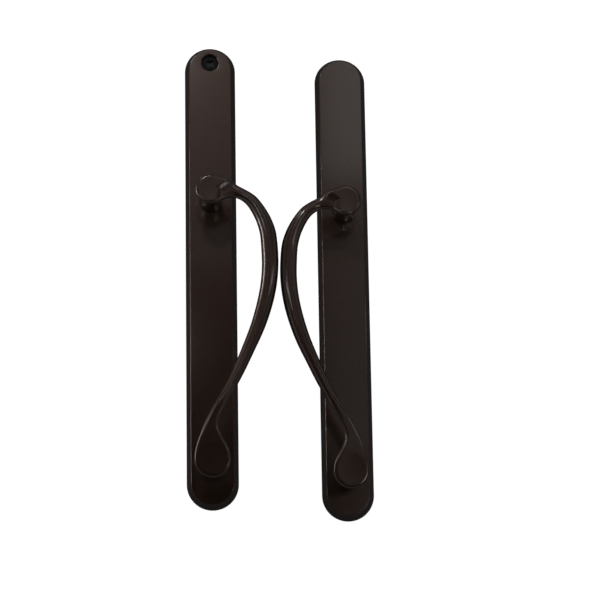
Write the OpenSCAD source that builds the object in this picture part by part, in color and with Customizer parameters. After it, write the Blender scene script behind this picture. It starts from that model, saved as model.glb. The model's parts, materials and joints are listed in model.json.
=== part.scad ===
// Pair of offset pull handles on long plates, for a sliding or hinged patio door.
// The two units are mirror images and lie side by side on their backs: X runs across
// the pair, Y along the plates towards the lock end, Z up out of the plates' faces.
// The left unit has a lock hub near its upper end. All sizes are in millimetres.

/* [Plate] */
// Length of each plate
plate_l = 350; // [345:1:370]
// Width of each plate at its back
plate_w = 38; // [38:0.5:42]
// Height of a plate's face above the door
plate_t = 9; // [9:0.5:10]
// How far each side leans in between back and face
side_lean = 3.4; // [2.5:0.1:3.6]
// Radius of the rounded edge round the face
face_edge_r = 0.8; // [0.4:0.1:1.2]
// Wall of the cast cover
cover_wall = 2.2; // [2:0.1:2.4]

/* [Pull] */
// Height of the pull's face above the door
pull_h = 48; // [46:0.5:52]
// Place of the upper post along the plate, from the plate's middle
upper_post_y = 53; // [50:0.5:56]
// Distance between the two posts
post_centres = 196.5; // [190:0.5:200]
// Radius of the round face on the upper post
cap_r = 11.2; // [10:0.1:12]
// Radius of the round face on the lower post
pad_r = 13.1; // [12:0.1:14]
// How far the bar's centreline bows out from the plate's centreline
bow = 42.2; // [38:0.1:42.2]
// Half of the grip's width at its thickest
grip_r = 6.1; // [5.5:0.1:6.1]
// Radius of the spigot below each post
spigot_r = 5; // [4.5:0.1:5.5]
// Radius of the screw thread in each spigot
pull_screw_r = 2.5; // [2:0.5:3]

/* [Back plate and fixings] */
// Thickness of the foam gasket
gasket_t = 1; // [1:0.1:1.2]
// Thickness of the steel back plate
back_t = 2.5; // [2.4:0.1:2.6]
// Width of the steel back plate
back_w = 30; // [28:0.5:30]
// Distance between the two threaded fixings for the door bolts
fixing_centres = 200; // [190:1:205]
// Wall radius of a threaded fixing
fixing_hole_r = 2.5; // [2:0.1:3]

/* [Lock hub] */
// Distance from the upper end of the left plate to the lock hub's axis
hub_inset = 13.8; // [13:0.1:16]
// Radius of the round hole in the plate's face
hub_hole_r = 6.25; // [6:0.05:6.5]
// Side of the square socket in the hub
socket_side = 5; // [4.5:0.1:5.2]
// Radius of the hub's barrel
hub_r = 4.75; // [4.6:0.05:4.8]

/* [Pair] */
// Distance between the two plates' centrelines
unit_spacing = 97.8; // [97.8:0.1:110]
// How much lower the right unit lies than the left one
unit_step = 9; // [8:0.5:12]

/* [Hidden] */
$fn = 48;
eps = 0.01;
running_gap = 0.05;
face_z = plate_t;
straight_l = plate_l - plate_w;
lower_post_y = upper_post_y - post_centres;
hub_y = plate_l / 2 - hub_inset;

// Steel back plate, shorter than the cover so that it ends below the lock hub
back_z = gasket_t;
back_top = back_z + back_t;
hub_clearance = 15;
end_clearance = 7;
back_end_y = hub_y - hub_clearance;
back_start_y = -plate_l / 2 + end_clearance;
back_l = back_end_y - back_start_y;
back_mid_y = (back_end_y + back_start_y) / 2;
gasket_margin = 1;

// Fixings and screws
fixing_mid_y = 0;
fixing_ys = [fixing_mid_y + fixing_centres / 2, fixing_mid_y - fixing_centres / 2];
fixing_body_r = 5;
fixing_flange_r = 6.5;
fixing_flange_t = 1;
fixing_top = 6.4;
post_ys = [upper_post_y, lower_post_y];
cover_screw_ys = [130, 20, -40, -122];
cover_screw_r = 1.5;
cover_screw_head_r = 2.8;
cover_screw_top = 7.4;
cover_screw_boss_r = 3.4;
pull_screw_head_r = 4.6;
pull_screw_top = 20;
pull_bore_top = 22;
post_boss_r = 9;
spigot_end = back_top + 0.2;

// Posts, and the washer between each post and the plate's face
post_washer_t = 0.8;
post_washer_r = 8.4;
post_foot_r = 8.3;
post_waist_r = 7;
post_head_t = 4;

// Lock hub and what holds it
hub_boss_r = 10;
hub_boss_bottom = 0.9;
bush_bottom = 2.4;
bush_top = 5.4;
bush_r = 7;
hub_bottom = 0.4;
hub_top = 6.6;
hub_flange_r = 6.4;
hub_flange_t = 1;
ring_groove_r = 4.35;
ring_r = 5.8;
ring_z = bush_top + running_gap;
ring_t = 0.6;
spring_t = 0.35;

BRONZE = "#3a302b";
STEEL = "#8d9094";
FOAM = "#26262a";
NYLON = "#1d1c1c";
BRASS = "#a98a4b";
PHOSPHATED = "#2b2c2e";

// ---- placing the two hands ----

module left_hand() {
    translate([-unit_spacing / 2, unit_step / 2, 0]) children();
}

module right_hand() {
    translate([unit_spacing / 2, -unit_step / 2, 0]) mirror([1, 0, 0]) children();
}

// ---- shared shapes ----

// A long body with half-round ends. outline is its half section: radius, height.
module long_round_ended(outline, straight) {
    both_sides = concat(outline, [for (i = [len(outline) - 1 : -1 : 0]) [-outline[i].x, outline[i].y]]);
    axis_ends = [[0, outline[len(outline) - 1].y], [0, outline[0].y]];
    rotate([90, 0, 0]) linear_extrude(height = straight, center = true) polygon(both_sides);
    for (turn = [0, 180])
        rotate([0, 0, turn]) translate([0, straight / 2, 0])
            rotate_extrude(angle = 180) polygon(concat(outline, axis_ends));
}

// The same, as a flat plate with upright sides
module flat_round_ended(width, length, z0, thickness) {
    r = width / 2;
    translate([0, 0, z0]) linear_extrude(height = thickness) {
        square([width, length - width], center = true);
        for (s = [-1, 1]) translate([0, s * (length - width) / 2]) circle(r = r);
    }
}

module along(ys) {
    for (y = ys) translate([0, y, 0]) children();
}

module disc(r, z0, z1) {
    translate([0, 0, z0]) cylinder(r = r, h = z1 - z0);
}

module ring(r_in, r_out, z0, z1) {
    difference() {
        disc(r_out, z0, z1);
        disc(r_in, z0 - 1, z1 + 1);
    }
}

// Countersunk screw standing head down on the back plate's underside
module countersunk_screw(r, head_r, top) {
    head_t = head_r - r;
    translate([0, 0, back_z]) cylinder(r1 = head_r, r2 = r, h = head_t);
    disc(r, back_z + head_t, top);
}

// The hole that takes such a screw
module countersunk_hole(r, head_r) {
    gap = 0.1;
    translate([0, 0, back_z - eps]) cylinder(r1 = head_r + gap, r2 = r + gap, h = head_r - r);
    disc(r + gap, back_z - 1, back_top + 1);
}

// ---- cover ----

function lean_at(z) = side_lean * z / face_z;

// Half section of the cover's outside, with a rounded edge round the face
function cover_outline() =
    let (top_r = plate_w / 2 - side_lean, lean = atan(side_lean / face_z), steps = 3,
         turn = 90 - lean, edge = face_edge_r * tan(turn / 2))
    concat([[plate_w / 2, 0]],
        [for (i = [0 : steps]) let (a = lean + turn * i / steps)
            [top_r - edge + face_edge_r * cos(a), face_z - face_edge_r + face_edge_r * sin(a)]]);

function cavity_outline() =
    let (r = plate_w / 2 - cover_wall, top = face_z - cover_wall)
    [[r, -1], [r, 0], [r - lean_at(top), top]];

module cover_shell() {
    difference() {
        union() {
            difference() {
                long_round_ended(cover_outline(), straight_l);
                long_round_ended(cavity_outline(), straight_l);
            }
            along(post_ys) disc(post_boss_r, back_top, face_z - cover_wall / 2);
            along(cover_screw_ys) disc(cover_screw_boss_r, back_top, face_z - cover_wall / 2);
        }
        along(post_ys) disc(spigot_r + running_gap, back_top - 1, face_z + 1);
        along(cover_screw_ys) disc(cover_screw_r + running_gap, back_top - 1, cover_screw_top + 0.3);
    }
}

module plain_cover() {
    cover_shell();
}

// Cover with the boss and the hole for the lock hub
module lock_cover() {
    mouth = 0.7;
    over = 0.1;
    difference() {
        union() {
            cover_shell();
            translate([0, hub_y, 0]) disc(hub_boss_r, hub_boss_bottom, face_z - cover_wall / 2);
        }
        translate([0, hub_y, 0]) {
            disc(hub_hole_r, hub_boss_bottom - 1, face_z + 1);
            disc(bush_r, hub_boss_bottom - 1, bush_top);
            translate([0, 0, face_z - mouth])
                cylinder(r1 = hub_hole_r, r2 = hub_hole_r + mouth + over, h = mouth + over);
        }
    }
}

// ---- back plate, gasket, fixings and screws ----

module back_plate() {
    difference() {
        translate([0, back_mid_y, 0]) flat_round_ended(back_w, back_l, back_z, back_t);
        along(post_ys) countersunk_hole(pull_screw_r, pull_screw_head_r);
        along(cover_screw_ys) countersunk_hole(cover_screw_r, cover_screw_head_r);
        along(fixing_ys) disc(fixing_body_r + running_gap, back_z - 1, back_top + 1);
    }
}

module gasket() {
    clear = 1;
    difference() {
        translate([0, back_mid_y, 0])
            flat_round_ended(back_w + 2 * gasket_margin, back_l + 2 * gasket_margin, 0, gasket_t);
        along(post_ys) disc(pull_screw_head_r + clear, -1, gasket_t + 1);
        along(cover_screw_ys) disc(cover_screw_head_r + clear, -1, gasket_t + 1);
        along(fixing_ys) disc(fixing_body_r + clear, -1, gasket_t + 1);
    }
}

// Flanged threaded insert, set in the back plate from inside
module fixings() {
    along(fixing_ys) difference() {
        union() {
            disc(fixing_body_r, back_z, fixing_top);
            disc(fixing_flange_r, back_top, back_top + fixing_flange_t);
        }
        disc(fixing_hole_r, back_z - 1, fixing_top + 1);
    }
}

module pull_screws() {
    along(post_ys) countersunk_screw(pull_screw_r, pull_screw_head_r, pull_screw_top);
}

module cover_screws() {
    along(cover_screw_ys) countersunk_screw(cover_screw_r, cover_screw_head_r, cover_screw_top);
}

module post_washers() {
    along(post_ys) ring(spigot_r + running_gap, post_washer_r, face_z, face_z + post_washer_t);
}

// ---- pull ----

// Stations along the bar: x, y, half width, half height, squareness of the section.
// The bar leaves the cap sideways, bows out, and comes back in a straight run to the pad.
// cap_part is measured from the upper post, grip_part and pad_part from the lower one.
cap_part = [
    [-cap_r, 0, 1.6, 2.6, 3],
    [-cap_r * 0.93, 0, cap_r * 0.37, 3.4, 3.6],
    [-cap_r * 0.75, 0, cap_r * 0.66, 3.9, 4],
    [-cap_r * 0.4, 0, cap_r * 0.92, 4.2, 4],
    [0, 0, cap_r, 4.3, 4],
    [4, 0.2, cap_r * 0.93, 4.3, 4],
    [8, 0.4, 8.7, 4.3, 3.4],
    [12.5, 0, 6.6, 4.3, 2.8],
    [18.5, -1.7, 4.7, 4.2, 2.3],
    [24, -4.2, 4.3, 4.3, 2],
    [29.2, -8, 4.6, 4.6, 2],
    [34, -14.5, 5, 5, 2],
    [38.2, -22.5, 5.5, 5.4, 2]
];
grip_part = [
    [bow - 1.3, 166.5, grip_r * 0.97, 5.8, 2],
    [bow, 152, grip_r, 6, 2],
    [bow + 0.1, 138, grip_r * 0.99, 6, 2],
    [bow - 1.6, 123.5, grip_r * 0.97, 5.8, 2],
    [bow - 4.9, 109.5, grip_r * 0.93, 5.6, 2],
    [bow - 9.6, 95, grip_r * 0.86, 5.2, 2],
    [bow - 15.6, 81, grip_r * 0.77, 4.8, 2],
    [20.4, 67, 4.3, 4.5, 2.1]
];
pad_part = [
    [14.2, 54.5, 4, 4.3, 2.3],
    [8.6, 44.5, 3.7, 4.2, 2.6],
    [3.4, 35.5, 3.8, 4.1, 3],
    [0.6, 29, 4.3, 4, 3.4],
    [-1, 23, 5.7, 4, 4],
    [-1.3, 16.5, 8.2, 4, 4],
    [-1, 10.5, 10.9, 4, 4],
    [-0.4, 5, pad_r * 0.96, 4, 4],
    [0, 0, pad_r, 4, 4],
    [0, -pad_r * 0.4, pad_r * 0.92, 3.9, 4],
    [0, -pad_r * 0.75, pad_r * 0.66, 3.7, 4],
    [0, -pad_r * 0.93, pad_r * 0.37, 3.3, 3.6],
    [0, -pad_r, 1.6, 2.6, 3]
];

function moved(part, dy) = [for (s = part) [s[0], s[1] + dy, s[2], s[3], s[4]]];

stations = concat(
    moved(cap_part, upper_post_y),
    moved(grip_part, lower_post_y),
    moved(pad_part, lower_post_y));
rings_per_span = 2;
ring_sides = 20;

// Smooth curve through four neighbouring stations
function between(a, b, c, d, t) =
    0.5 * (2 * b + (c - a) * t + (2 * a - 5 * b + 4 * c - d) * t * t + (3 * b - a - 3 * c + d) * t * t * t);

last = len(stations) - 1;
path = concat(
    [for (i = [0 : last - 1]) for (k = [0 : rings_per_span - 1])
        between(stations[max(i - 1, 0)], stations[i], stations[i + 1], stations[min(i + 2, last)],
                k / rings_per_span)],
    [stations[last]]);

function heading(i) =
    let (a = path[max(i - 1, 0)], b = path[min(i + 1, len(path) - 1)], d = [b[0] - a[0], b[1] - a[1]])
    d / norm(d);

function rounded(v, power) = sign(v) * pow(abs(v), 2 / power);

// One ring of the bar, upright and square to its path, with its top level with the pull's face
function bar_ring(i) =
    let (s = path[i], along_bar = heading(i), across = [along_bar.y, -along_bar.x], zc = bar_top(s) - s[3])
    [for (k = [0 : ring_sides - 1])
        let (a = 360 * k / ring_sides, u = s[2] * rounded(cos(a), s[4]), w = s[3] * rounded(sin(a), s[4]))
        [s[0] + across.x * u, s[1] + across.y * u, zc + w]];

// The wide ends lie at full height; the slimmer bar between them lies a little lower
function bar_top(s) = pull_h - (s[2] > 8 ? 0 : min(1, (8 - s[2]) * 0.3));

module bar() {
    points = [for (i = [0 : len(path) - 1]) each bar_ring(i)];
    n = ring_sides;
    rings = len(path);
    sides = [for (i = [0 : rings - 2]) for (k = [0 : n - 1])
        [i * n + k, i * n + (k + 1) % n, (i + 1) * n + (k + 1) % n, (i + 1) * n + k]];
    first_cap = [[for (k = [n - 1 : -1 : 0]) k]];
    last_cap = [[for (k = [0 : n - 1]) (rings - 1) * n + k]];
    polyhedron(points, concat(sides, first_cap, last_cap), convexity = 6);
}

// A turned post that flares into the underside of its round face
module post(top_r) {
    foot = face_z + post_washer_t;
    top = pull_h - post_head_t;
    rise = top - foot;
    rotate_extrude() polygon([
        [0, foot], [post_foot_r, foot], [post_foot_r, foot + 1], [post_waist_r + 0.4, foot + 0.12 * rise],
        [post_waist_r, foot + 0.35 * rise], [post_waist_r + 0.4, foot + 0.58 * rise],
        [top_r * 0.78, foot + 0.76 * rise], [top_r * 0.9, foot + 0.9 * rise], [top_r * 0.9, top], [0, top]
    ]);
    disc(spigot_r, spigot_end, foot + 1);
}

module pull() {
    difference() {
        union() {
            bar();
            translate([0, upper_post_y, 0]) post(cap_r);
            translate([0, lower_post_y, 0]) post(pad_r);
        }
        along(post_ys) disc(pull_screw_r + running_gap, spigot_end - 1, pull_bore_top);
    }
}

// ---- lock hub ----

module hub_axis() {
    left_hand() translate([0, hub_y, 0]) children();
}

module hub() {
    difference() {
        union() {
            disc(hub_r, hub_bottom, hub_top);
            disc(hub_flange_r, hub_bottom, hub_bottom + hub_flange_t);
        }
        ring(ring_groove_r, hub_r + 1, ring_z - running_gap, ring_z + ring_t + running_gap);
        translate([0, 0, (hub_bottom + hub_top) / 2])
            cube([socket_side, socket_side, hub_top + 2], center = true);
    }
}

module bush() {
    ring(hub_r + running_gap, bush_r - 0.02, bush_bottom, bush_top);
}

// Slightly coned spring washer between the hub's flange and the bush
module spring_washer() {
    r_in = hub_r + 0.15;
    r_out = 6.2;
    low = hub_bottom + hub_flange_t;
    high = bush_bottom - spring_t;
    rotate_extrude() polygon([[r_in, high], [r_out, low], [r_out, low + spring_t], [r_in, high + spring_t]]);
}

// Split ring in the hub's groove
module snap_ring() {
    split = 1.6;
    difference() {
        ring(ring_groove_r + running_gap, ring_r, ring_z, ring_z + ring_t);
        translate([0, -ring_r, ring_z]) cube([split, ring_r * 2, ring_t * 4], center = true);
    }
}

// ---- the named nodes ----

module left_cover() { color(BRONZE) left_hand() lock_cover(); }
module left_back_plate() { color(STEEL) left_hand() back_plate(); }
module left_gasket() { color(FOAM) left_hand() gasket(); }
module left_pull() { color(BRONZE) left_hand() pull(); }
module left_post_washers() { color(NYLON) left_hand() post_washers(); }
module left_pull_screws() { color(STEEL) left_hand() pull_screws(); }
module left_cover_screws() { color(STEEL) left_hand() cover_screws(); }
module left_fixings() { color(BRASS) left_hand() fixings(); }
module lock_hub() { color(PHOSPHATED) hub_axis() hub(); }
module hub_bush() { color(NYLON) hub_axis() bush(); }
module hub_spring_washer() { color(STEEL) hub_axis() spring_washer(); }
module hub_snap_ring() { color(PHOSPHATED) hub_axis() snap_ring(); }
module right_cover() { color(BRONZE) right_hand() plain_cover(); }
module right_back_plate() { color(STEEL) right_hand() back_plate(); }
module right_gasket() { color(FOAM) right_hand() gasket(); }
module right_pull() { color(BRONZE) right_hand() pull(); }
module right_post_washers() { color(NYLON) right_hand() post_washers(); }
module right_pull_screws() { color(STEEL) right_hand() pull_screws(); }
module right_cover_screws() { color(STEEL) right_hand() cover_screws(); }
module right_fixings() { color(BRASS) right_hand() fixings(); }

left_cover();
left_back_plate();
left_gasket();
left_pull();
left_post_washers();
left_pull_screws();
left_cover_screws();
left_fixings();
lock_hub();
hub_bush();
hub_spring_washer();
hub_snap_ring();
right_cover();
right_back_plate();
right_gasket();
right_pull();
right_post_washers();
right_pull_screws();
right_cover_screws();
right_fixings();
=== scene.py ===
# %% [markdown]
# # A pair of offset pull handles on long plates
#
# Two mirror-image door handles lie on their backs on a white table. Each one is a long
# hollow cast plate with leaning sides, and one bowed pull bar on two turned posts. The
# castings have a dark bronze powder coat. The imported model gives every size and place,
# so this lesson only adds the shapes and the finishes that make the parts look real.

# %% Load the frame
import bpy
import bmesh
import json
import math
from mathutils import Matrix, Vector


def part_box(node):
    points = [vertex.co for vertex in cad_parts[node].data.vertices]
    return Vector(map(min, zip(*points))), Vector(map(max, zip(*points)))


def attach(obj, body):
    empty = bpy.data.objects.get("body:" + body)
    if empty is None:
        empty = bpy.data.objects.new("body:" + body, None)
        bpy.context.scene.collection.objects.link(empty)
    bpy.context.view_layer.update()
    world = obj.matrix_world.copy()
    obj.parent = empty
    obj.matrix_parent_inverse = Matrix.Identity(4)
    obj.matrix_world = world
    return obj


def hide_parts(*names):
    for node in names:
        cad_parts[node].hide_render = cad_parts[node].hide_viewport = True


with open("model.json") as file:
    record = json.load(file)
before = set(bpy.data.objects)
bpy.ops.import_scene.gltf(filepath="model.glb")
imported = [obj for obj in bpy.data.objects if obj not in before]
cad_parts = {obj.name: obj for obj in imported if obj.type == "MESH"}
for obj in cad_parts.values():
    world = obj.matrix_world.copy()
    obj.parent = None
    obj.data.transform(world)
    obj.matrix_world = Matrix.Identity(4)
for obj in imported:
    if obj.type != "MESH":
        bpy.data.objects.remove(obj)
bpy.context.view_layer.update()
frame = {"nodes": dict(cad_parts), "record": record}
MM = 0.001

# %% [markdown]
# ## Where everything is
#
# Each unit is drawn once in its own frame, in millimetres: X points from the plate's
# middle line to the side where the pull bows out, Y runs up the plate, Z out of its face.
# A plate's box gives the middle of its unit, and the right unit is the mirrored one.
# The two screws under the posts say where the posts stand.


# %% Read the units' places and sizes
def corners(node):
    low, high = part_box(node)
    return [Vector(low) / MM, Vector(high) / MM]


def placed(side):
    """The matrix from a unit's own millimetres to the frame's metres."""
    low, high = corners(side + "_cover")
    middle = (low + high) / 2
    hand = 1 if side == "left" else -1
    return (Matrix.Scale(MM, 4) @ Matrix.Translation((middle.x, middle.y, 0))
            @ Matrix.Diagonal((hand, 1, 1, 1)))


UNITS = {side: placed(side) for side in ("left", "right")}
cover_low, cover_high = corners("left_cover")
plate_w = cover_high.x - cover_low.x
plate_l = cover_high.y - cover_low.y
face_z = cover_high.z
unit_y = (cover_high.y + cover_low.y) / 2
unit_x = (cover_high.x + cover_low.x) / 2
end_y = (plate_l - plate_w) / 2

screw_low, screw_high = corners("left_pull_screws")
screw_head_r = (screw_high.x - screw_low.x) / 2
UPPER_POST = screw_high.y - screw_head_r - unit_y
LOWER_POST = screw_low.y + screw_head_r - unit_y
POSTS = (UPPER_POST, LOWER_POST)
pull_top = corners("left_pull")[1].z

hub_low, hub_high = corners("lock_hub")
hub_y = (hub_low.y + hub_high.y) / 2 - unit_y
print(f"plate {plate_w:.1f} x {plate_l:.1f} x {face_z:.1f} mm, pull {pull_top:.1f} mm high")
print(f"posts at {UPPER_POST:.1f} and {LOWER_POST:.1f}, hub at {hub_y:.1f}")

# %% [markdown]
# ## Small helpers
#
# Colours are written as the hex values a designer would pick, and one function turns them
# to the linear numbers that the shader works in. One function adds a shader node, sets its
# values and joins its inputs. A finished mesh is placed in its unit, and rides on the body
# that carries the part it stands for.


# %% Colours, shader nodes and finished pieces
def linear(hex_colour):
    channels = [int(hex_colour[i:i + 2], 16) / 255 for i in (1, 3, 5)]
    return [c / 12.92 if c <= 0.04045 else ((c + 0.055) / 1.055) ** 2.4 for c in channels] + [1.0]


def add(tree, kind, links=(), sockets=(), **settings):
    """Adds one node. links joins (output, input name or number); sockets sets (input, value)."""
    node = tree.nodes.new(kind)
    for name, value in settings.items():
        setattr(node, name, value)
    for key, value in sockets:
        node.inputs[key].default_value = value
    for output, key in links:
        tree.links.new(output, node.inputs[key])
    return node


def new_material(name):
    material = bpy.data.materials.new(name)
    material.use_nodes = True
    tree = material.node_tree
    tree.nodes.clear()
    output = add(tree, "ShaderNodeOutputMaterial")
    shader = add(tree, "ShaderNodeBsdfPrincipled")
    tree.links.new(shader.outputs[0], output.inputs["Surface"])
    return material, tree, shader


def set_finish(cad_node, material):
    """Gives a carried-over CAD node its finish."""
    mesh = frame["nodes"][cad_node].data
    mesh.materials.clear()
    mesh.materials.append(material)


def body_holding(cad_node):
    for body, members in frame["record"]["behaviour"]["bodies"].items():
        if cad_node in members:
            return body


def finish_piece(name, bm, matrix, cad_node, material, smooth_angle=40):
    """Writes a bmesh, in a unit's millimetres, as the visible piece for one CAD node."""
    bmesh.ops.remove_doubles(bm, verts=bm.verts, dist=0.002)
    bmesh.ops.transform(bm, matrix=matrix, verts=bm.verts)
    bmesh.ops.recalc_face_normals(bm, faces=bm.faces)
    for edge in bm.edges:
        edge.smooth = edge.is_manifold and edge.calc_face_angle() < math.radians(smooth_angle)
    for face in bm.faces:
        face.smooth = True
    open_edges = sum(not edge.is_manifold for edge in bm.edges)
    mesh = bpy.data.meshes.new(name)
    bm.to_mesh(mesh)
    bm.free()
    piece = bpy.data.objects.new(name, mesh)
    bpy.context.scene.collection.objects.link(piece)
    mesh.materials.append(material)
    even = piece.modifiers.new("even_normals", "WEIGHTED_NORMAL")
    even.keep_sharp = True
    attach(piece, body_holding(cad_node))
    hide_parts(cad_node)
    print(f"{name}: {len(mesh.polygons)} faces, {open_edges} open edges")
    return piece


# %% [markdown]
# ## The camera
#
# The pair is seen from above and a little from its lower end, through a long lens, so the
# plates stay almost parallel. The camera is placed by its own three axes, because a
# tracking constraint would not keep its small roll.

# %% Camera
LENS_MM = 121.8
LOOK_AT = Vector((16.4, -15.3, 0)) * MM
BACK = Vector((-0.0444, -0.2073, 0.977)).normalized()
UP_HINT = Vector((0.016, 1, 0))
CAMERA_DISTANCE = 1.5

camera_data = bpy.data.cameras.new("camera")
camera_data.lens = LENS_MM
camera_data.sensor_width = 36
camera = bpy.data.objects.new("camera", camera_data)
bpy.context.scene.collection.objects.link(camera)
right_axis = UP_HINT.cross(BACK).normalized()
up_axis = BACK.cross(right_axis)
camera.matrix_world = (Matrix.Translation(LOOK_AT + BACK * CAMERA_DISTANCE)
                       @ Matrix((right_axis, up_axis, BACK)).transposed().to_4x4())
camera_data.clip_start = 0.05
bpy.context.scene.camera = camera
print("camera at", [round(v, 3) for v in camera.location])

# %% [markdown]
# ## Dark bronze powder coat
#
# Powder coat is a thick melted plastic film. It has a satin gloss, a faint orange peel
# where the powder flowed out, and here a fine metal pigment that gives the brown a soft
# sparkle. The casting under it never shows. An image of a real coat could be wrapped on,
# but noise in millimetres fits every piece without seams. The base is dull and mostly
# metal, for the pigment, and the melted film over it is a smoother clear coat.


# %% Bronze powder coat
def bronze_coat(name):
    """To the eye: warm dark brown where it is turned away, and a grey satin sheen on the light side.

    The fleck pattern is drawn coarser than the real pigment, which is finer than a pixel.
    """
    material, tree, shader = new_material(name)
    place = add(tree, "ShaderNodeTexCoord").outputs["Object"]
    peel_mm, fleck_mm, cloud_mm = 1.1, 0.35, 40
    peel = add(tree, "ShaderNodeTexNoise", [(place, "Vector")],
               [("Scale", 1 / (peel_mm * MM)), ("Detail", 2.0), ("Roughness", 0.5)])
    fleck = add(tree, "ShaderNodeTexNoise", [(place, "Vector")],
                [("Scale", 1 / (fleck_mm * MM)), ("Detail", 1.0)])
    cloud = add(tree, "ShaderNodeTexNoise", [(place, "Vector")],
                [("Scale", 1 / (cloud_mm * MM)), ("Detail", 3.0)])
    sparkle = add(tree, "ShaderNodeMapRange", [(fleck.outputs["Fac"], "Value")],
                  [("From Min", 0.35), ("From Max", 0.75)])
    fine = add(tree, "ShaderNodeMix", [(sparkle.outputs[0], 0)],
               [(6, linear("#4e392f")), (7, linear("#644c3f"))], data_type="RGBA")
    tone = add(tree, "ShaderNodeMapRange", [(cloud.outputs["Fac"], "Value")],
               [("From Min", 0.3), ("From Max", 0.7), ("To Min", 0.0), ("To Max", 0.35)])
    colour = add(tree, "ShaderNodeMix", [(tone.outputs[0], 0), (fine.outputs[2], 6)],
                 [(7, linear("#57403c"))], data_type="RGBA")
    gloss = add(tree, "ShaderNodeMapRange", [(peel.outputs["Fac"], "Value")],
                [("From Min", 0.3), ("From Max", 0.7), ("To Min", 0.38), ("To Max", 0.46)])
    bump = add(tree, "ShaderNodeBump", [(peel.outputs["Fac"], "Height")],
               [("Strength", 0.12), ("Distance", 0.05 * MM)])
    tree.links.new(colour.outputs[2], shader.inputs["Base Color"])
    tree.links.new(gloss.outputs[0], shader.inputs["Roughness"])
    tree.links.new(bump.outputs[0], shader.inputs["Normal"])
    shader.inputs["Metallic"].default_value = 0.8
    shader.inputs["Coat Weight"].default_value = 1.0
    shader.inputs["Coat Roughness"].default_value = 0.16
    shader.inputs["Coat IOR"].default_value = 1.8
    return material


BRONZE = bronze_coat("dark_bronze_powder_coat")
print("made", BRONZE.name)

# %% [markdown]
# ## The plate cover
#
# The cover is a zinc die casting: a hollow tray turned face up. Its sides lean in so that
# it leaves the die, and its face has a small rounded edge. It could be a box with bevelled
# edges and its inside pushed in, but then the round ends and the wall's thickness are
# hard to hold. So one half section of the wall is swept round it: spun half a turn at each
# end, and extruded along each straight side. The flat face and the ceiling inside are then
# filled between the outline and the holes.

# %% Sizes of the casting
wall = 2.2
side_lean = 3.4
edge_r = 0.8
rim_r = 0.35
back_plate_top = corners("left_back_plate")[1].z
spigot_r = 5.05
ceiling_z = face_z - wall
post_boss_r = 9
tapped_r = 1.55
tapped_end_z = 7.6
screw_boss_r = 3.4
end_turn_steps = 40
cover_screw_ys = [130, 20, -40, -122]
print(f"wall {wall} mm, ceiling at {ceiling_z:.1f} mm")


# %% Sweep a section of the wall round the plate
def arc(cx, cy, r, start, stop, steps):
    """Points on an arc in a section, angles in degrees."""
    angles = [math.radians(start + (stop - start) * i / steps) for i in range(steps + 1)]
    return [(cx + r * math.cos(a), cy + r * math.sin(a)) for a in angles]


def open_profile(bm, points, y=0):
    """A chain of edges through (x, z) points, in the plane at y."""
    verts = [bm.verts.new((x, y, z)) for x, z in points]
    edges = [bm.edges.new(pair) for pair in zip(verts, verts[1:])]
    return verts + edges


def swept_round_plate(bm, points, half_straight, steps):
    """Carries a half section once round a long shape with half-round ends."""
    chain = open_profile(bm, points, half_straight)
    for end in (1, -1):
        spun = bmesh.ops.spin(bm, geom=chain, cent=(0, end * half_straight, 0), axis=(0, 0, 1),
                              dvec=(0, 0, 0), angle=math.pi, steps=steps, use_duplicate=False)
        run = bmesh.ops.extrude_edge_only(bm, edges=[e for e in spun["geom_last"]
                                                     if isinstance(e, bmesh.types.BMEdge)])
        ahead = [v for v in run["geom"] if isinstance(v, bmesh.types.BMVert)]
        bmesh.ops.translate(bm, verts=ahead, vec=(0, -end * 2 * half_straight, 0))
        chain = ahead + [e for e in run["geom"] if isinstance(e, bmesh.types.BMEdge)
                         and all(v in ahead for v in e.verts)]
    bmesh.ops.remove_doubles(bm, verts=bm.verts, dist=0.002)


# %% Holes, bosses and the flat faces
def ring_edges(bm, x, y, z, r, segments=48):
    """A circle of edges."""
    made = bmesh.ops.create_circle(bm, cap_ends=False, radius=r, segments=segments,
                                   matrix=Matrix.Translation((x, y, z)))
    return list({e for v in made["verts"] for e in v.link_edges})


def rims_at(bm, z):
    """The open edges that lie at one height."""
    return [e for e in bm.edges if len(e.link_faces) < 2
            and all(abs(v.co.z - z) < 0.001 for v in e.verts)]


def turned_down(bm, edges, x, y, points):
    """Extrudes a circle through (radius, z) points, about an upright axis."""
    for r, z in points:
        run = bmesh.ops.extrude_edge_only(bm, edges=edges)
        ahead = [v for v in run["geom"] if isinstance(v, bmesh.types.BMVert)]
        edges = [e for e in run["geom"] if isinstance(e, bmesh.types.BMEdge)
                 and all(v in ahead for v in e.verts)]
        for v in ahead:
            away = Vector((v.co.x - x, v.co.y - y)).normalized() * r
            v.co = (x + away.x, y + away.y, z)
    return edges


def flat_fill(bm, z, up):
    """Fills the flat area between all the open edges at one height."""
    bmesh.ops.triangle_fill(bm, use_beauty=True, use_dissolve=False, edges=rims_at(bm, z),
                            normal=(0, 0, up))


# %% [markdown]
# ## One cover, from its outline to its bosses
#
# The section starts at the middle of the face edge, rounds it, runs down the leaning side,
# turns over a small rounded rim at the foot, and climbs back inside. Each post
# has a hole in the face, with a boss round it that reaches down to the back plate. The four
# bosses for the small screws don't show on the face, so they start from the tapped hole.


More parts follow.
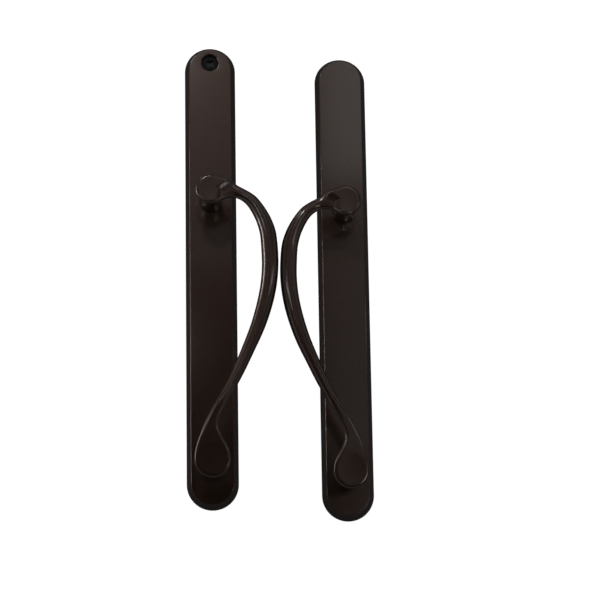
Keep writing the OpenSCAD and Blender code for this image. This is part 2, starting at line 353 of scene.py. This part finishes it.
# %% Make one cover
def make_cover(side, hub_hole):
    bm = bmesh.new()
    lean = math.degrees(math.atan2(side_lean, face_z))
    top_r = plate_w / 2 - side_lean
    arc_x = top_r - edge_r * math.tan(math.radians((90 - lean) / 2))
    section = arc(arc_x, face_z - edge_r, edge_r, 90, lean, 7)
    foot_x = plate_w / 2
    inside_x = foot_x - wall
    corner_x = inside_x - side_lean * ceiling_z / face_z
    section += [(foot_x - rim_r * 0.35, rim_r), (foot_x - rim_r, 0), (inside_x + rim_r, 0),
                (inside_x - 0.1, rim_r), (corner_x + 0.3, ceiling_z - 0.6),
                (corner_x - 0.5, ceiling_z)]
    swept_round_plate(bm, section, end_y, end_turn_steps)
    for y in POSTS:
        hole = ring_edges(bm, 0, y, face_z, spigot_r)
        turned_down(bm, hole, 0, y, [(spigot_r, back_plate_top), (post_boss_r, back_plate_top),
                                     (post_boss_r, ceiling_z)])
    if hub_hole:
        add_hub_hole(bm)
    for y in cover_screw_ys:
        hole = ring_edges(bm, 0, y, back_plate_top, tapped_r, 24)
        bottom = turned_down(bm, hole, 0, y, [(tapped_r, tapped_end_z)])
        bmesh.ops.holes_fill(bm, edges=bottom, sides=0)
        turned_down(bm, hole, 0, y, [(screw_boss_r, back_plate_top), (screw_boss_r, ceiling_z)])
    flat_fill(bm, face_z, 1)
    flat_fill(bm, ceiling_z, -1)
    return finish_piece(side + "_plate", bm, UNITS[side], side + "_cover", BRONZE)


# %% [markdown]
# ## The lock hole
#
# Only the left plate has the round hole for the lock. Its lip is broken with a small
# rounded countersink, and it steps out lower down to seat the hub's bush. A boolean could
# cut it, but a circle of edges that is extruded down keeps the lip's faces even.


# %% The hole's lip, its wall and the boss behind it
hub_hole_r = 6.25
bush_seat_z = 5.4
bush_seat_r = 7.0
boss_r = 10
boss_foot_z = 0.9


def add_hub_hole(bm):
    lip = ring_edges(bm, 0, hub_y, face_z, hub_hole_r + 0.75, 64)
    inside = [(hub_hole_r + 0.5, face_z - 0.08), (hub_hole_r + 0.2, face_z - 0.3),
              (hub_hole_r + 0.04, face_z - 0.65), (hub_hole_r, face_z - 1.0),
              (hub_hole_r, bush_seat_z), (bush_seat_r, bush_seat_z),
              (bush_seat_r, boss_foot_z), (boss_r, boss_foot_z), (boss_r, ceiling_z)]
    turned_down(bm, lip, 0, hub_y, inside)


make_cover("left", True)
make_cover("right", False)

# %% [markdown]
# ## The pull bar
#
# A pull is one casting: a round cap on the upper post, a neck that swings out and down into
# a bowed grip with an oval section, and a stem that flows back into a round pad on the
# lower post. The cap and the pad have flat faces with crisp edges; the grip is round. So a
# grid is rolled into a tube: its rows become sections along a smooth path, and each
# section is a blend of a flat-faced one and an oval one. At both ends the last section is
# fanned half a turn round the post's axis, which closes the cap and the pad.

# %% The path of the bar, in stations from the cap to the pad
bow = 42.2
grip_r = 6.1
cap_r = 11.2
pad_r = 13.1
# Each station: x, distance up from its post, half width, half thickness.
NECK = [(0, 0, cap_r, 4.3), (4, 0.2, 10.4, 4.3), (8, 0.4, 8.7, 4.3), (12.5, 0, 6.6, 4.3),
        (18.5, -1.7, 4.7, 4.2), (24, -4.2, 4.3, 4.3), (29.2, -8, 4.6, 4.6), (34, -14.5, 5, 5),
        (38.2, -22.5, 5.5, 5.4)]
GRIP = [(bow - 1.3, 166.5, 0.97 * grip_r, 5.8), (bow, 152, grip_r, 6),
        (bow + 0.1, 138, 0.99 * grip_r, 6),
        (bow - 1.6, 123.5, 0.97 * grip_r, 5.8), (bow - 4.9, 109.5, 0.93 * grip_r, 5.6),
        (bow - 9.6, 95, 0.86 * grip_r, 5.2), (bow - 15.6, 81, 0.77 * grip_r, 4.8), (20.4, 67, 4.3, 4.5)]
STEM = [(14.2, 54.5, 4, 4.3), (8.6, 44.5, 3.7, 4.2), (3.4, 35.5, 3.8, 4.1), (0.6, 29, 4.3, 4),
        (-1, 23, 5.7, 4), (-1.3, 16.5, 8.2, 4), (-1, 10.5, 10.9, 4), (-0.4, 5, 12.6, 4), (0, 0, pad_r, 4)]
STATIONS = ([Vector((x, y + UPPER_POST, w, h)) for x, y, w, h in NECK]
            + [Vector((x, y + LOWER_POST, w, h)) for x, y, w, h in GRIP + STEM])


def smooth_between(a, b, c, d, t):
    """A point on the smooth curve from b to c."""
    return 0.5 * (2 * b + (c - a) * t + (2 * a - 5 * b + 4 * c - d) * t ** 2
                  + (3 * b - a - 3 * c + d) * t ** 3)


def path_points(fine, coarse):
    """Stations resampled along the path, finer near the cap and the pad than on the grip."""
    ends = [2 * STATIONS[0] - STATIONS[1]] + STATIONS + [2 * STATIONS[-1] - STATIONS[-2]]
    points = []
    for i in range(len(STATIONS) - 1):
        b, c = STATIONS[i], STATIONS[i + 1]
        on_grip = len(NECK) - 2 < i < len(NECK) + len(GRIP)
        count = max(1, round((c - b).xy.length / (coarse if on_grip else fine)))
        points += [smooth_between(ends[i], b, c, ends[i + 3], n / count) for n in range(count)]
    return points + [STATIONS[-1]]


PATH = path_points(2.0, 7.0)
print(len(PATH), "sections along the bar")

# %% [markdown]
# ## The bar's sections
#
# Half of a section runs from the middle of the top, over the edge and round to the middle
# of the underside. The flat-faced one has a level top, a tight edge and a belly below; the
# oval one is an ellipse. How flat a section is depends on how far it is from the cap or
# the pad. The runs below are in millimetres along the path, and the negative ones are
# counted back from the pad.

# %% The two kinds of section
HALF_COLUMNS = 14
POST_COLUMN = 10  # from here to the middle of the underside, the posts take over


def flat_half(w, depth):
    edge = min(2.2, 0.45 * w)
    level = [(n / 5 * (w - edge), 0) for n in range(6)]
    return level + [(w - 0.5 * edge, -0.12 * edge), (w - 0.14 * edge, -0.45 * edge), (w, -edge),
                    (w, -0.38 * depth), (w - 0.5, -0.55 * depth),
                    (w - 1.7, -0.77 * depth), (min(0.62 * w, w - 2.2), -0.92 * depth),
                    (0.3 * w, -0.99 * depth), (0, -depth)]


def oval_half(w, depth):
    turns = [math.pi * n / HALF_COLUMNS for n in range(HALF_COLUMNS + 1)]
    return [(w * math.sin(a), depth / 2 * (math.cos(a) - 1)) for a in turns]


def smoothstep(low, high, value):
    """0 at low, 1 at high, and smooth between them."""
    t = min(max((value - low) / (high - low), 0), 1)
    return t * t * (3 - 2 * t)


def half_section(w, h, flatness):
    """(distance from the middle, height below the top) for each column."""
    pairs = zip(flat_half(w, 2 * h), oval_half(w, 2 * h))
    return [(f[0] * flatness + o[0] * (1 - flatness), f[1] * flatness + o[1] * (1 - flatness))
            for f, o in pairs]


# %% How flat each section is, and the fans at both ends
CAP_FLAT, CAP_OVAL = 12, 32
PAD_OVAL, PAD_FLAT = -70, -38
CAP_LEVEL, CAP_LOW = 8, 45
PAD_LEVEL, PAD_LOW = -12, -75
grip_drop = 1
fan_step = 7.5


def sections():
    """Every section as (station, forward, flatness, turn from the tip, height of its top)."""
    runs = [0]
    for a, b in zip(PATH, PATH[1:]):
        runs.append(runs[-1] + (b - a).xy.length)
    found = []
    for i, point in enumerate(PATH):
        ahead = (PATH[min(i + 1, len(PATH) - 1)] - PATH[max(i - 1, 0)]).xy.normalized()
        from_pad = runs[i] - runs[-1]
        flatness = 1 - smoothstep(CAP_FLAT, CAP_OVAL, runs[i]) + smoothstep(PAD_OVAL, PAD_FLAT, from_pad)
        lowered = smoothstep(CAP_LEVEL, CAP_LOW, runs[i]) * smoothstep(PAD_LEVEL, PAD_LOW, from_pad)
        top = pull_top - grip_drop * lowered
        found.append((point, ahead, flatness, math.pi / 2, top))
    fan = [math.radians(fan_step * n) for n in range(round(90 / fan_step))]
    first, last = found[0], found[-1]
    start = [(first[0], Vector((1, 0)), 1, a, pull_top) for a in fan]
    stop = [(last[0], Vector((0, -1)), 1, math.pi - a, pull_top) for a in reversed(fan)]
    return start + [(first[0], Vector((1, 0)), 1, math.pi / 2, pull_top)] + found[1:-1] + [
        (last[0], Vector((0, -1)), 1, math.pi / 2, pull_top)] + stop


SECTIONS = sections()
print(len(SECTIONS), "sections with the fans")

# %% [markdown]
# ## The rolled grid
#
# A curve with a bevel object would carry one section along the path, but it can't blend
# between two kinds or fan out at the ends. A grid can: one operator makes it, each row is
# laid on its section, and the two long edges meet under the bar, where they are merged.


# %% Roll the grid into the bar
def roll_bar(bm):
    columns = 2 * HALF_COLUMNS
    rows = len(SECTIONS) - 1
    bmesh.ops.create_grid(bm, x_segments=rows, y_segments=columns, size=1)
    for v in bm.verts:
        row = round((v.co.x + 1) / 2 * rows)
        column = round((v.co.y + 1) / 2 * columns)
        point, ahead, flatness, turn, top = SECTIONS[row]
        half = column if column <= HALF_COLUMNS else columns - column
        side = 1 if column <= HALF_COLUMNS else -1
        out, down = half_section(point.z, point.w, flatness)[half]
        across = Vector((-ahead.y, ahead.x)) * side
        way = across * math.sin(turn) - ahead * math.cos(turn)
        v.co = (point.x + way.x * out, point.y + way.y * out, top + down)
        v[bm.verts.layers.int["row"]] = row
        v[bm.verts.layers.int["column"]] = half


# %% [markdown]
# ## The posts
#
# Under the cap and under the pad the underside is opened, and the opening's edge is
# carried down to the plate: it turns gradually into a circle, narrows to a waist, and
# flares out to a round foot that stands on its washer. A spigot under the foot goes into
# the plate, with the hole for the screw that holds the pull. Extruding the opening's own
# edge joins the post to the cap without a seam, as in the casting.

# %% Carry the undersides down as posts
foot_z = corners("left_post_washers")[1].z
spigot_end_z = 3.7
screw_hole_r = 2.55
screw_hole_z = 22
# Each row: how round the outline is by now, its radius, and its height.
POST_PROFILE = [(0.25, 8.9, 40), (0.6, 8.2, 37.5), (0.9, 7.5, 33), (1, 7.1, 27), (1, 7.05, 20),
                (1, 7.4, 15), (1, 8.0, 11.6), (1, 8.3, 10.6), (1, 8.35, 10.1), (1, 8.2, foot_z),
                (1, 7.6, foot_z),
                (1, 5.3, foot_z), (1, 5.0, foot_z - 0.2), (1, 5.0, foot_z - 1), (1, 5.0, 4.4),
                (1, 5.0, 3.9), (1, 4.8, spigot_end_z), (1, 3.2, spigot_end_z), (1, 2.7, spigot_end_z),
                (1, screw_hole_r, 3.9), (1, screw_hole_r, 5), (1, screw_hole_r, screw_hole_z - 0.5),
                (1, screw_hole_r - 0.4, screw_hole_z)]


def add_post(bm, post_y, in_post):
    """Opens the underside where in_post says so, and carries the edge down."""
    column = bm.verts.layers.int["column"]
    under = [f for f in bm.faces if all(v[column] >= POST_COLUMN and in_post(v) for v in f.verts)]
    bmesh.ops.delete(bm, geom=under, context="FACES")
    edges = [e for e in bm.edges if len(e.link_faces) == 1
             and (e.verts[0].co.xy - Vector((0, post_y))).length < 25]
    for share, r, z in POST_PROFILE:
        run = bmesh.ops.extrude_edge_only(bm, edges=edges)
        ahead = [v for v in run["geom"] if isinstance(v, bmesh.types.BMVert)]
        edges = [e for e in run["geom"] if isinstance(e, bmesh.types.BMEdge)
                 and all(v in ahead for v in e.verts)]
        for v in ahead:
            away = v.co.xy - Vector((0, post_y))
            round_spot = away.normalized() * r
            flat = away.lerp(round_spot, share)
            v.co = (flat.x, flat.y + post_y, v.co.z + (z - v.co.z) * max(share, 0.5))
    bmesh.ops.holes_fill(bm, edges=edges, sides=0)


# %% [markdown]
# ## Smoothing and carving
#
# Subdivision gives the casting its flowing surface. The fine forms are then carved on the
# dense mesh: the cap's face is slightly dished, and beyond a crisp crease it falls away
# towards the neck, which leaves a bright facet there. The pad's face is dished as well.

# %% Subdivide the cage, then carve the cap and the pad
CREASE_POINT = Vector((3.5, 0.8))
CREASE_NORMAL = Vector((0.535, -0.845))
crease_depth = 1.8
crease_run = 5
crease_fades = (18, 38)
dish_depth = 0.3
carved_from_top = (7.5, 1.5)


def fall_past_crease(spot):
    """How far the face drops at a place given from the upper post's axis."""
    past = min((spot - CREASE_POINT).dot(CREASE_NORMAL), spot.x - 4) + 0.3
    t = min(max(past / crease_run, 0), 1)
    eased = t - 0.15 * smoothstep(0.6, 1, t)
    return crease_depth * eased * (1 - smoothstep(*crease_fades, spot.x))


def dish(spot_from_axis, r):
    return dish_depth * max(0, 1 - (spot_from_axis.length / (r - 1)) ** 2)


def carve(bm):
    """Lowers the upper surface only, and fades out down the sides."""
    for v in bm.verts:
        near_top = smoothstep(pull_top - carved_from_top[0], pull_top - carved_from_top[1], v.co.z)
        if near_top == 0:
            continue
        from_cap = v.co.xy - Vector((0, UPPER_POST))
        from_pad = v.co.xy - Vector((0, LOWER_POST))
        drop = 0
        if from_cap.x < crease_fades[1] and abs(from_cap.y) < 45:
            drop += fall_past_crease(from_cap)
            drop += dish(from_cap, cap_r) * (1 - smoothstep(3, 7, from_cap.x))
        if from_pad.length < 14:
            drop += dish(from_pad, pad_r)
        v.co.z -= drop * near_top


def subdivided(bm, levels):
    """The same cage after Catmull-Clark subdivision."""
    cage = bpy.data.meshes.new("cage")
    bm.to_mesh(cage)
    bm.free()
    holder = bpy.data.objects.new("cage", cage)
    bpy.context.scene.collection.objects.link(holder)
    rounder = holder.modifiers.new("rounder", "SUBSURF")
    rounder.levels = levels
    rounder.render_levels = levels
    graph = bpy.context.evaluated_depsgraph_get()
    dense_mesh = bpy.data.meshes.new_from_object(holder.evaluated_get(graph))
    dense = bmesh.new()
    dense.from_mesh(dense_mesh)
    bpy.data.objects.remove(holder)
    bpy.data.meshes.remove(cage)
    bpy.data.meshes.remove(dense_mesh)
    return dense


# %% [markdown]
# ## One pull, from the grid to the casting
#
# The layers remember each vertex's row and column, because merging the doubles renumbers
# the vertices, and the posts are opened by row and column. The posts are added before the
# subdivision, so that it also rounds where they meet the cap and the pad.


# %% Make both pulls
def make_pull(side):
    bm = bmesh.new()
    bm.verts.layers.int.new("row")
    bm.verts.layers.int.new("column")
    roll_bar(bm)
    row = bm.verts.layers.int["row"]
    last = len(SECTIONS) - 1
    cap_side = max(i for i, s in enumerate(SECTIONS)
                   if s[0].x < 0.8 * cap_r and i < last / 2)
    pad_side = min(i for i, s in enumerate(SECTIONS)
                   if s[0].y < LOWER_POST + 0.8 * pad_r and i > last / 2)
    bmesh.ops.remove_doubles(bm, verts=bm.verts, dist=0.01)
    add_post(bm, UPPER_POST, lambda v: v[row] <= cap_side)
    add_post(bm, LOWER_POST, lambda v: v[row] >= pad_side)
    bmesh.ops.recalc_face_normals(bm, faces=bm.faces)
    bm = subdivided(bm, 2)
    carve(bm)
    return finish_piece(side + "_pull_bar", bm, UNITS[side], side + "_pull", BRONZE, 60)


for side in UNITS:
    make_pull(side)

# %% [markdown]
# ## The inner parts
#
# Behind the plates the real set has zinc-plated back plates and screws, foam gaskets,
# turned brass fixings for the door bolts, nylon washers under the posts, and a black
# phosphated lock hub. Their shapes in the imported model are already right, so they keep
# them and only get their finishes.
#
# Zinc plating is a thin bright layer that follows the pressed steel. Flat grey would look
# painted, so its gloss changes from crystal to crystal and its tint drifts slowly.


# %% Zinc plating
def zinc_plated_steel(name):
    """To the eye: cool pale metal, faintly mottled, with a yellowish stain here and there."""
    material, tree, shader = new_material(name)
    place = add(tree, "ShaderNodeTexCoord").outputs["Object"]
    spangle_mm, stain_mm = 0.8, 12
    spangle = add(tree, "ShaderNodeTexVoronoi", [(place, "Vector")],
                  [("Scale", 1 / (spangle_mm * MM))])
    stain = add(tree, "ShaderNodeTexNoise", [(place, "Vector")],
                [("Scale", 1 / (stain_mm * MM)), ("Detail", 3.0)])
    tint = add(tree, "ShaderNodeMix", [(stain.outputs["Fac"], 0)],
               [(6, linear("#aab0b8")), (7, linear("#b5b0a2"))], data_type="RGBA")
    gloss = add(tree, "ShaderNodeMapRange", [(spangle.outputs["Distance"], "Value")],
                [("From Max", 0.7), ("To Min", 0.26), ("To Max", 0.4)])
    tree.links.new(tint.outputs[2], shader.inputs["Base Color"])
    tree.links.new(gloss.outputs[0], shader.inputs["Roughness"])
    shader.inputs["Metallic"].default_value = 1.0
    return material


# %% [markdown]
# ## Foam gasket
#
# The gasket is die cut from closed-cell foam sheet. A cell pattern drives both the tone
# and the bump, so that every cell reads as a small pit. Its cells are about half a
# millimetre, so the surface has no highlight at all.


# %% Foam
def closed_cell_foam(name):
    """To the eye: soft near-black, with fine pits and no shine."""
    material, tree, shader = new_material(name)
    place = add(tree, "ShaderNodeTexCoord").outputs["Object"]
    cell_mm = 0.45
    cells = add(tree, "ShaderNodeTexVoronoi", [(place, "Vector")],
                [("Scale", 1 / (cell_mm * MM))])
    tone = add(tree, "ShaderNodeMix", [(cells.outputs["Distance"], 0)],
               [(6, linear("#26262a")), (7, linear("#131316"))], data_type="RGBA")
    bump = add(tree, "ShaderNodeBump", [(cells.outputs["Distance"], "Height")],
               [("Strength", 0.6), ("Distance", 0.12 * MM)])
    tree.links.new(tone.outputs[2], shader.inputs["Base Color"])
    tree.links.new(bump.outputs[0], shader.inputs["Normal"])
    shader.inputs["Roughness"].default_value = 0.85
    return material


# %% [markdown]
# ## Nylon washers and bush
#
# Moulded nylon copies its mould, which was spark eroded, so it has a fine even grain. The
# washers sit in the posts' shade and must stay quiet there.


# %% Nylon
def moulded_nylon(name):
    """To the eye: black plastic with a dull, slightly broken highlight."""
    material, tree, shader = new_material(name)
    place = add(tree, "ShaderNodeTexCoord").outputs["Object"]
    spark_mm = 0.25
    grain = add(tree, "ShaderNodeTexNoise", [(place, "Vector")],
                [("Scale", 1 / (spark_mm * MM)), ("Detail", 2.0)])
    tone = add(tree, "ShaderNodeMix", [(grain.outputs["Fac"], 0)],
               [(6, linear("#121213")), (7, linear("#1e1e20"))], data_type="RGBA")
    bump = add(tree, "ShaderNodeBump", [(grain.outputs["Fac"], "Height")],
               [("Strength", 0.25), ("Distance", 0.03 * MM)])
    tree.links.new(tone.outputs[2], shader.inputs["Base Color"])
    tree.links.new(bump.outputs[0], shader.inputs["Normal"])
    shader.inputs["Roughness"].default_value = 0.5
    return material


# %% [markdown]
# ## Turned brass and phosphated steel
#
# The door fixings and the lock hub are turned on a lathe, and the tool leaves fine rings
# round them. Noise that is squeezed along the turning axis draws such rings without any
# image. Phosphating then turns the steel hub black and takes most of its shine.


# %% Turned metals, and the finish of every part that keeps its shape
def turned_metal(name, dark, light, roughness, metallic):
    """To the eye: fine rings along Z, the turning axis. Bright on brass, almost lost on phosphate."""
    material, tree, shader = new_material(name)
    place = add(tree, "ShaderNodeTexCoord").outputs["Object"]
    feed_mm = 0.12
    stretch = add(tree, "ShaderNodeMapping", [(place, "Vector")],
                  [("Scale", (40, 40, 1 / (feed_mm * MM)))])
    marks = add(tree, "ShaderNodeTexNoise", [(stretch.outputs[0], "Vector")],
                [("Scale", 1.0), ("Detail", 2.0)])
    tone = add(tree, "ShaderNodeMix", [(marks.outputs["Fac"], 0)],
               [(6, linear(dark)), (7, linear(light))], data_type="RGBA")
    gloss = add(tree, "ShaderNodeMapRange", [(marks.outputs["Fac"], "Value")],
                [("To Min", roughness - 0.08), ("To Max", roughness + 0.08)])
    tree.links.new(tone.outputs[2], shader.inputs["Base Color"])
    tree.links.new(gloss.outputs[0], shader.inputs["Roughness"])
    shader.inputs["Metallic"].default_value = metallic
    return material


FINISHES = {
    "zinc_plated_steel": zinc_plated_steel("zinc_plated_steel"),
    "foam": closed_cell_foam("closed_cell_foam"),
    "black_nylon": moulded_nylon("moulded_nylon"),
    "brass": turned_metal("turned_brass", "#a07c36", "#c9a55c", 0.28, 1.0),
    "blackened_steel": turned_metal("phosphated_steel", "#0f0f10", "#1b1b1d", 0.5, 0.3),
}
for entry in frame["record"]["subparts"]:
    if entry["material_slot"] in FINISHES:
        set_finish(entry["node"], FINISHES[entry["material_slot"]])
print("finished", sorted(FINISHES))

# %% [markdown]
# ## The table
#
# A white table fills the view. It should stay evenly white while the lamps stay dim enough
# for the dark coat, so it glows a little by itself. It is hidden from bounced and mirrored
# rays, or its glow would light the handles from below. The glow stops near the lock hole:
# that dark disc is painted shade, so that the hole stays dark.

# %% Laminate table
table_half_m = 2.5
table_drop_m = 0.0002
glow_strength = 0.95
painted_shade_within_mm = (10, 12)


def white_table():
    """To the eye: clean white laminate, with a grain so faint that it only breaks the flatness. Under the
    lock hole its glow stops, a painted shade that keeps the hole dark.
    """
    material, tree, shader = new_material("white_laminate")
    place = add(tree, "ShaderNodeTexCoord").outputs["Object"]
    grain_mm = 3
    grain = add(tree, "ShaderNodeTexNoise", [(place, "Vector")],
                [("Scale", 1 / (grain_mm * MM)), ("Detail", 2.0)])
    tone = add(tree, "ShaderNodeMix", [(grain.outputs["Fac"], 0)],
               [(6, linear("#f4f4f3")), (7, linear("#fafaf9"))], data_type="RGBA")
    tree.links.new(tone.outputs[2], shader.inputs["Base Color"])
    shader.inputs["Roughness"].default_value = 0.6
    # Painted shade: the glow is off within 10 mm of the lock hub and full from 12 mm on, so the table
    # seen through the hub's socket stays dark, as it would in shadow.
    hub = Vector((unit_x, unit_y + hub_y, 0)) * MM
    away = add(tree, "ShaderNodeVectorMath", [(place, 0)], [(1, hub)], operation="DISTANCE")
    glow = add(tree, "ShaderNodeMapRange", [(away.outputs["Value"], "Value")],
               [("From Min", painted_shade_within_mm[0] * MM), ("From Max", painted_shade_within_mm[1] * MM),
                ("To Min", 0.0), ("To Max", glow_strength)])
    tree.links.new(glow.outputs[0], shader.inputs["Emission Strength"])
    shader.inputs["Emission Color"].default_value = linear("#ffffff")
    return material


bm = bmesh.new()
bmesh.ops.create_grid(bm, x_segments=8, y_segments=8, size=table_half_m)
table_mesh = bpy.data.meshes.new("table")
bm.to_mesh(table_mesh)
bm.free()
table_mesh.materials.append(white_table())
table = bpy.data.objects.new("table", table_mesh)
table_mesh.transform(Matrix.Translation((0, 0, -table_drop_m)))
bpy.context.scene.collection.objects.link(table)
table.visible_diffuse = False
table.visible_glossy = False
print("table", 2 * table_half_m, "m wide")

# %% [markdown]
# ## The lamps
#
# Satin metal mostly shows what it mirrors, so the lamps are placed by reflection. Three
# panels hang where the flat plates mirror the ceiling: the brightest over the right
# plate's upper half, a weaker strip for its lower half, and a dim one for the left plate.
# They fade towards the lower ends, and the caps block them, which leaves dark pools under
# the caps. The small key lamp adds crisp highlights. The others are aimed at one form
# each: the crease in the neck, the outer side of each bar, the cap's rim and the left wall.


# %% Lamps
def lamp(name, place_mm, look_mm, size_mm, watts, tint="#ffffff"):
    data = bpy.data.lights.new(name, "AREA")
    data.shape = "RECTANGLE"
    data.size = size_mm[0] * MM
    data.size_y = size_mm[1] * MM
    data.energy = watts
    data.color = linear(tint)[:3]
    made = bpy.data.objects.new(name, data)
    place = Vector(place_mm) * MM
    aim = (Vector(look_mm) * MM - place).normalized()
    turned = aim.to_track_quat("-Z", "Y").to_matrix().to_4x4()
    made.matrix_world = Matrix.Translation(place) @ turned
    bpy.context.scene.collection.objects.link(made)
    return made


lamp("key", (-150, 450, 680), (-20, 0, 0), (60, 60), 0.25)
lamp("sheen", (125, 400, 460), (125, 400, 0), (140, 400), 0.08)
lamp("strip", (125, 60, 460), (125, 60, 0), (140, 280), 0.014)
lamp("left_sheen", (-60, 330, 460), (-60, 330, 0), (120, 440), 0.016)
lamp("facet", (178, -147, 520), (-45, 55, 45), (70, 70), 0.05)
lamp("left_high", (-206, 52, 450), (0, 40, 40), (25, 250), 0.045)
lamp("right_high", (300, 60, 420), (0, 40, 40), (25, 250), 0.035)
lamp("rim", (-360, 513, 280), (-49, 57, 45), (60, 60), 0.07)
lamp("left_wall", (-700, 100, 70), (0, 40, 0), (400, 80), 0.8)


# %% [markdown]
# ## The studio round the table
#
# From the side, the castings mirror the walls of the room. An even grey world would also
# grey the plates from above, so the world is brightest near the horizon and almost black
# overhead.


# %% Studio walls
def studio_walls(horizon, low, high):
    """Dim pale walls round a dark ceiling, so that edges and sides can be read."""
    world = bpy.data.worlds.new("studio")
    world.use_nodes = True
    tree = world.node_tree
    back = tree.nodes["Background"]
    way = add(tree, "ShaderNodeTexCoord").outputs["Generated"]
    height = add(tree, "ShaderNodeSeparateXYZ", [(way, 0)]).outputs["Z"]
    rise = add(tree, "ShaderNodeMapRange", [(height, "Value")],
               [("From Min", -0.12), ("From Max", 0.03), ("To Min", low), ("To Max", horizon)])
    fall = add(tree, "ShaderNodeMapRange", [(height, "Value")],
               [("From Min", 0.3), ("From Max", 0.68), ("To Min", 1.0), ("To Max", high)])
    glow = add(tree, "ShaderNodeMath", [(rise.outputs[0], 0), (fall.outputs[0], 1)],
               operation="MULTIPLY")
    tree.links.new(glow.outputs[0], back.inputs["Strength"])
    back.inputs["Color"].default_value = linear("#ffffff")
    return world


bpy.context.scene.world = studio_walls(horizon=0.18, low=0.03, high=0.002)
bpy.context.scene.view_settings.view_transform = "Standard"
print("view transform", bpy.context.scene.view_settings.view_transform)
